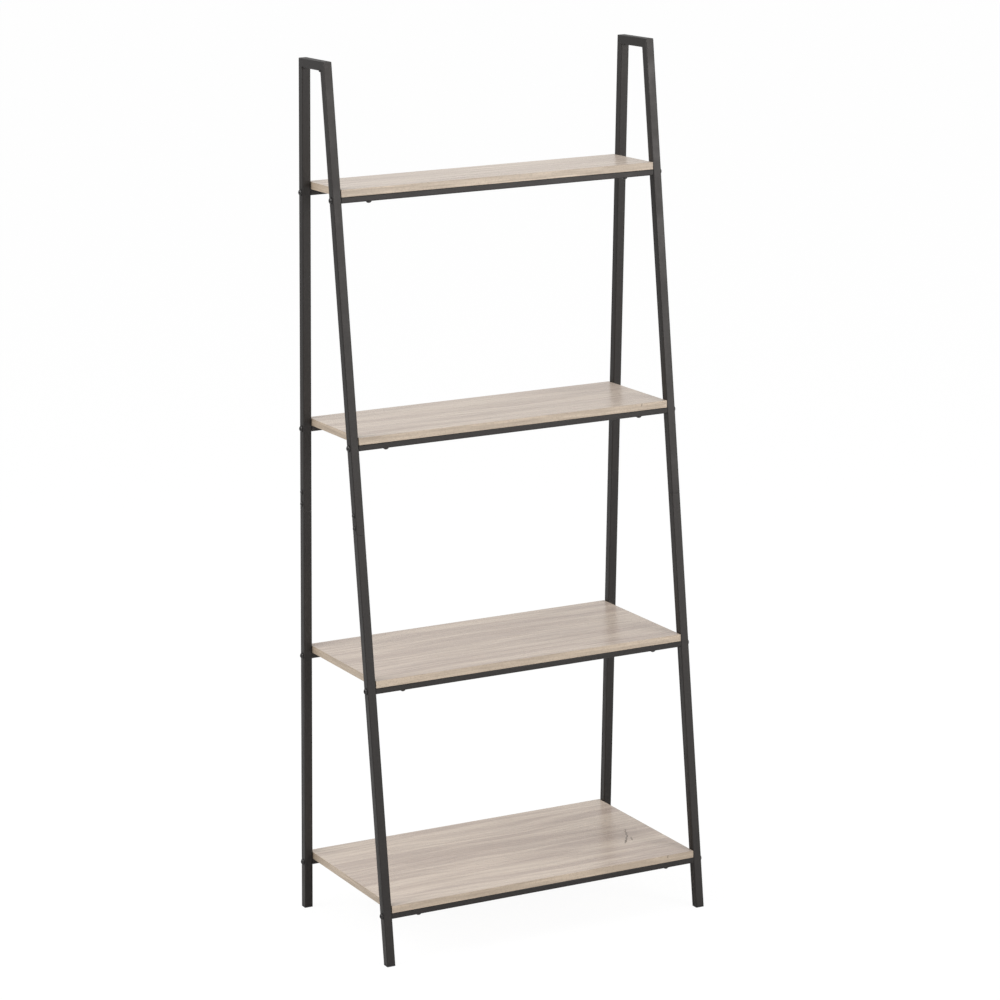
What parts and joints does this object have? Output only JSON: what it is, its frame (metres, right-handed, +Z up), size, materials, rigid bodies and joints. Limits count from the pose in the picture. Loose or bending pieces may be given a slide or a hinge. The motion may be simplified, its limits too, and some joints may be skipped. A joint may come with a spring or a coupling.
{
  "type": "ladder shelf",
  "caption": "Free-standing ladder shelf: leaning square-tube legs form A-shaped side frames, and wood-look boards, deeper towards the floor, rest on bolted cross rails.",
  "frame": {"origin": "on the floor, at the centre of the footprint", "axes": "+Z up; the front faces -Y; +X to the right as seen from the front"},
  "size_m": [0.607, 0.36, 1.482],
  "materials": {
    "frame_coat": "satin charcoal powder coat",
    "bolt_black": "black oxide, slightly glossy",
    "plug_plastic": "moulded, matte black",
    "plain_steel": "bare zinc-plated steel",
    "board_face": "greige oak melamine, matt, grain along the length",
    "edge_band": "matching edge band, matt"
  },
  "bodies": {
    "root": {"left_upper_rear_tube": "frame_coat", "left_upper_front_tube": "frame_coat", "left_top_bar": "frame_coat", "left_lower_rear_tube": "frame_coat", "left_lower_front_tube": "frame_coat", "right_upper_rear_tube": "frame_coat", "right_upper_front_tube": "frame_coat", "right_top_bar": "frame_coat", "right_lower_rear_tube": "frame_coat", "right_lower_front_tube": "frame_coat", "left_rear_joiner": "plain_steel", "left_front_joiner": "plain_steel", "right_rear_joiner": "plain_steel", "right_front_joiner": "plain_steel", "left_rear_joiner_screws": "bolt_black", "left_front_joiner_screws": "bolt_black", "right_rear_joiner_screws": "bolt_black", "right_front_joiner_screws": "bolt_black", "left_rear_foot_plug": "plug_plastic", "left_front_foot_plug": "plug_plastic", "right_rear_foot_plug": "plug_plastic", "right_front_foot_plug": "plug_plastic", "bottom_board": "board_face", "second_board": "board_face", "third_board": "board_face", "top_board": "board_face", "bottom_edge_band": "edge_band", "second_edge_band": "edge_band", "third_edge_band": "edge_band", "top_edge_band": "edge_band", "bottom_front_rail": "frame_coat", "second_front_rail": "frame_coat", "third_front_rail": "frame_coat", "top_front_rail": "frame_coat", "bottom_rear_rail": "frame_coat", "second_rear_rail": "frame_coat", "third_rear_rail": "frame_coat", "top_rear_rail": "frame_coat", "bottom_rail_blocks": "plain_steel", "second_rail_blocks": "plain_steel", "third_rail_blocks": "plain_steel", "top_rail_blocks": "plain_steel", "bottom_frame_bolts": "bolt_black", "second_frame_bolts": "bolt_black", "third_frame_bolts": "bolt_black", "top_frame_bolts": "bolt_black", "bottom_board_screws": "bolt_black", "second_board_screws": "bolt_black", "third_board_screws": "bolt_black", "top_board_screws": "bolt_black"}
  },
  "joints": []
}
